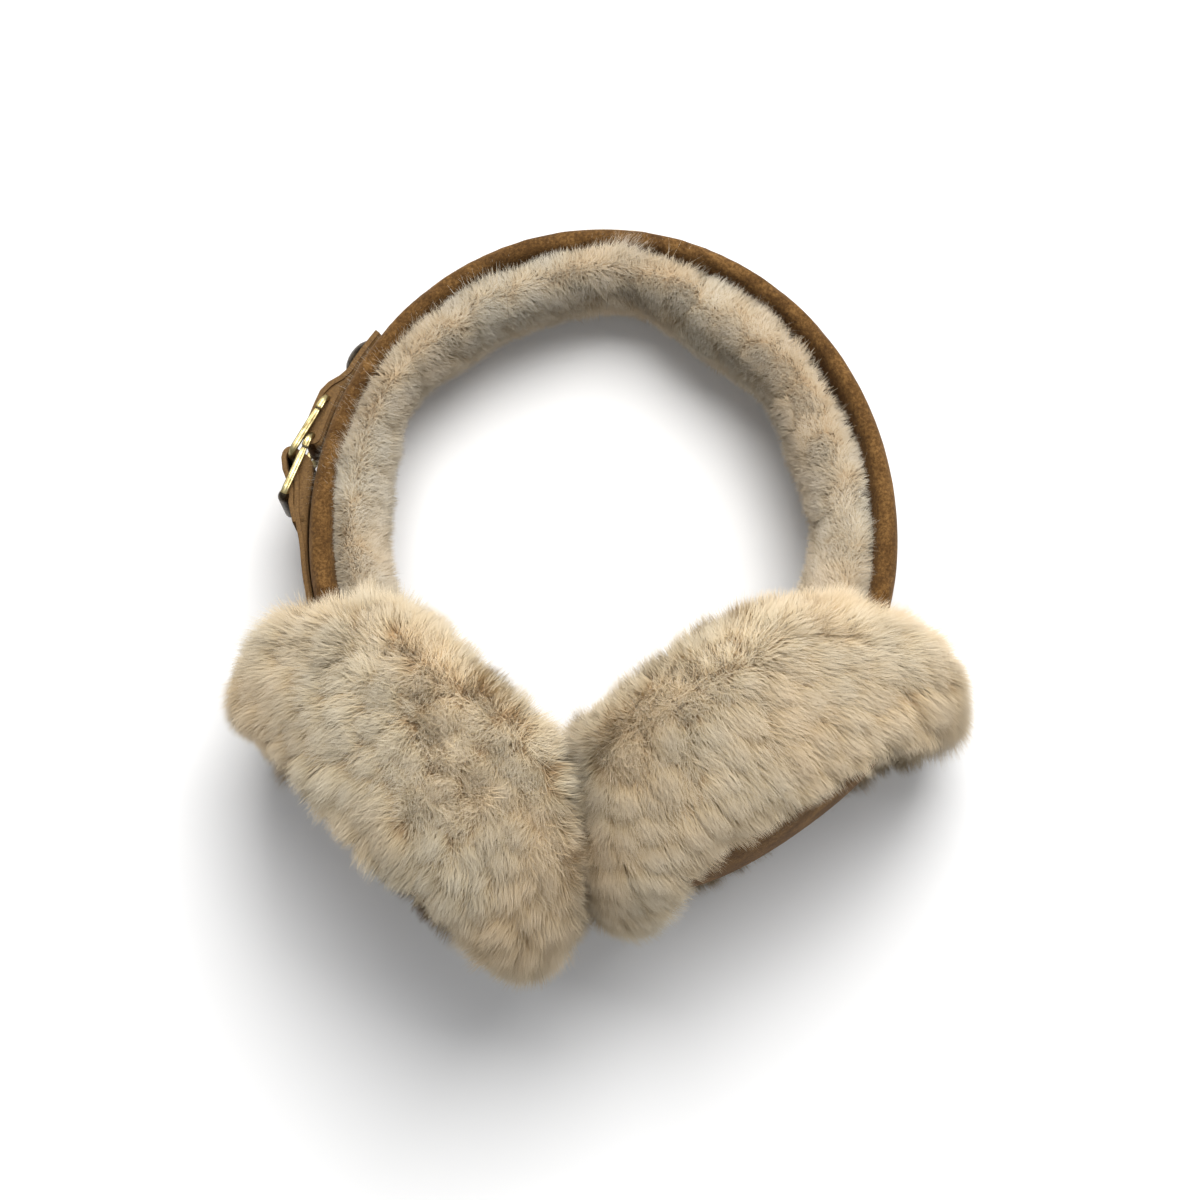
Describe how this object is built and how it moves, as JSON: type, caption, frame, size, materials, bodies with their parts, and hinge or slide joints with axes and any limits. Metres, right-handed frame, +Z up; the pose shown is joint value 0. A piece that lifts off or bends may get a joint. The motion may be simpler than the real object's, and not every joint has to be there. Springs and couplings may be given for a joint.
{
  "type": "earmuffs",
  "caption": "Sheepskin earmuffs: padded suede headband with a pile lining, thick fur ear cups with suede discs outside, and a suede strap closed by metal rings.",
  "frame": {"origin": "on the surface the earmuffs lie on, below the middle of their bounding box", "axes": "+Z up from the surface, +Y from the ear cups towards the crown of the headband, +X to the right when seen from above with the crown at the top"},
  "size_m": [0.2006, 0.2058, 0.1012],
  "materials": {
    "band_suede": "chestnut suede, napped",
    "band_pile": "cream sheepskin pile",
    "cup_pile": "cream sheepskin in long locks",
    "disc_suede": "chestnut suede, napped",
    "strap_suede": "chestnut suede, napped",
    "ring_metal": "antique brass, worn bright",
    "rivet_metal": "dark bronze, smooth"
  },
  "bodies": {
    "root": {"headband_suede": "band_suede", "headband_fur": "band_pile", "left_cup_fur": "cup_pile", "right_cup_fur": "cup_pile", "left_cup_suede": "disc_suede", "right_cup_suede": "disc_suede", "strap_upper": "strap_suede", "strap_lower": "strap_suede", "ring_outer": "ring_metal", "ring_inner": "ring_metal", "strap_rivet": "rivet_metal"}
  },
  "joints": []
}
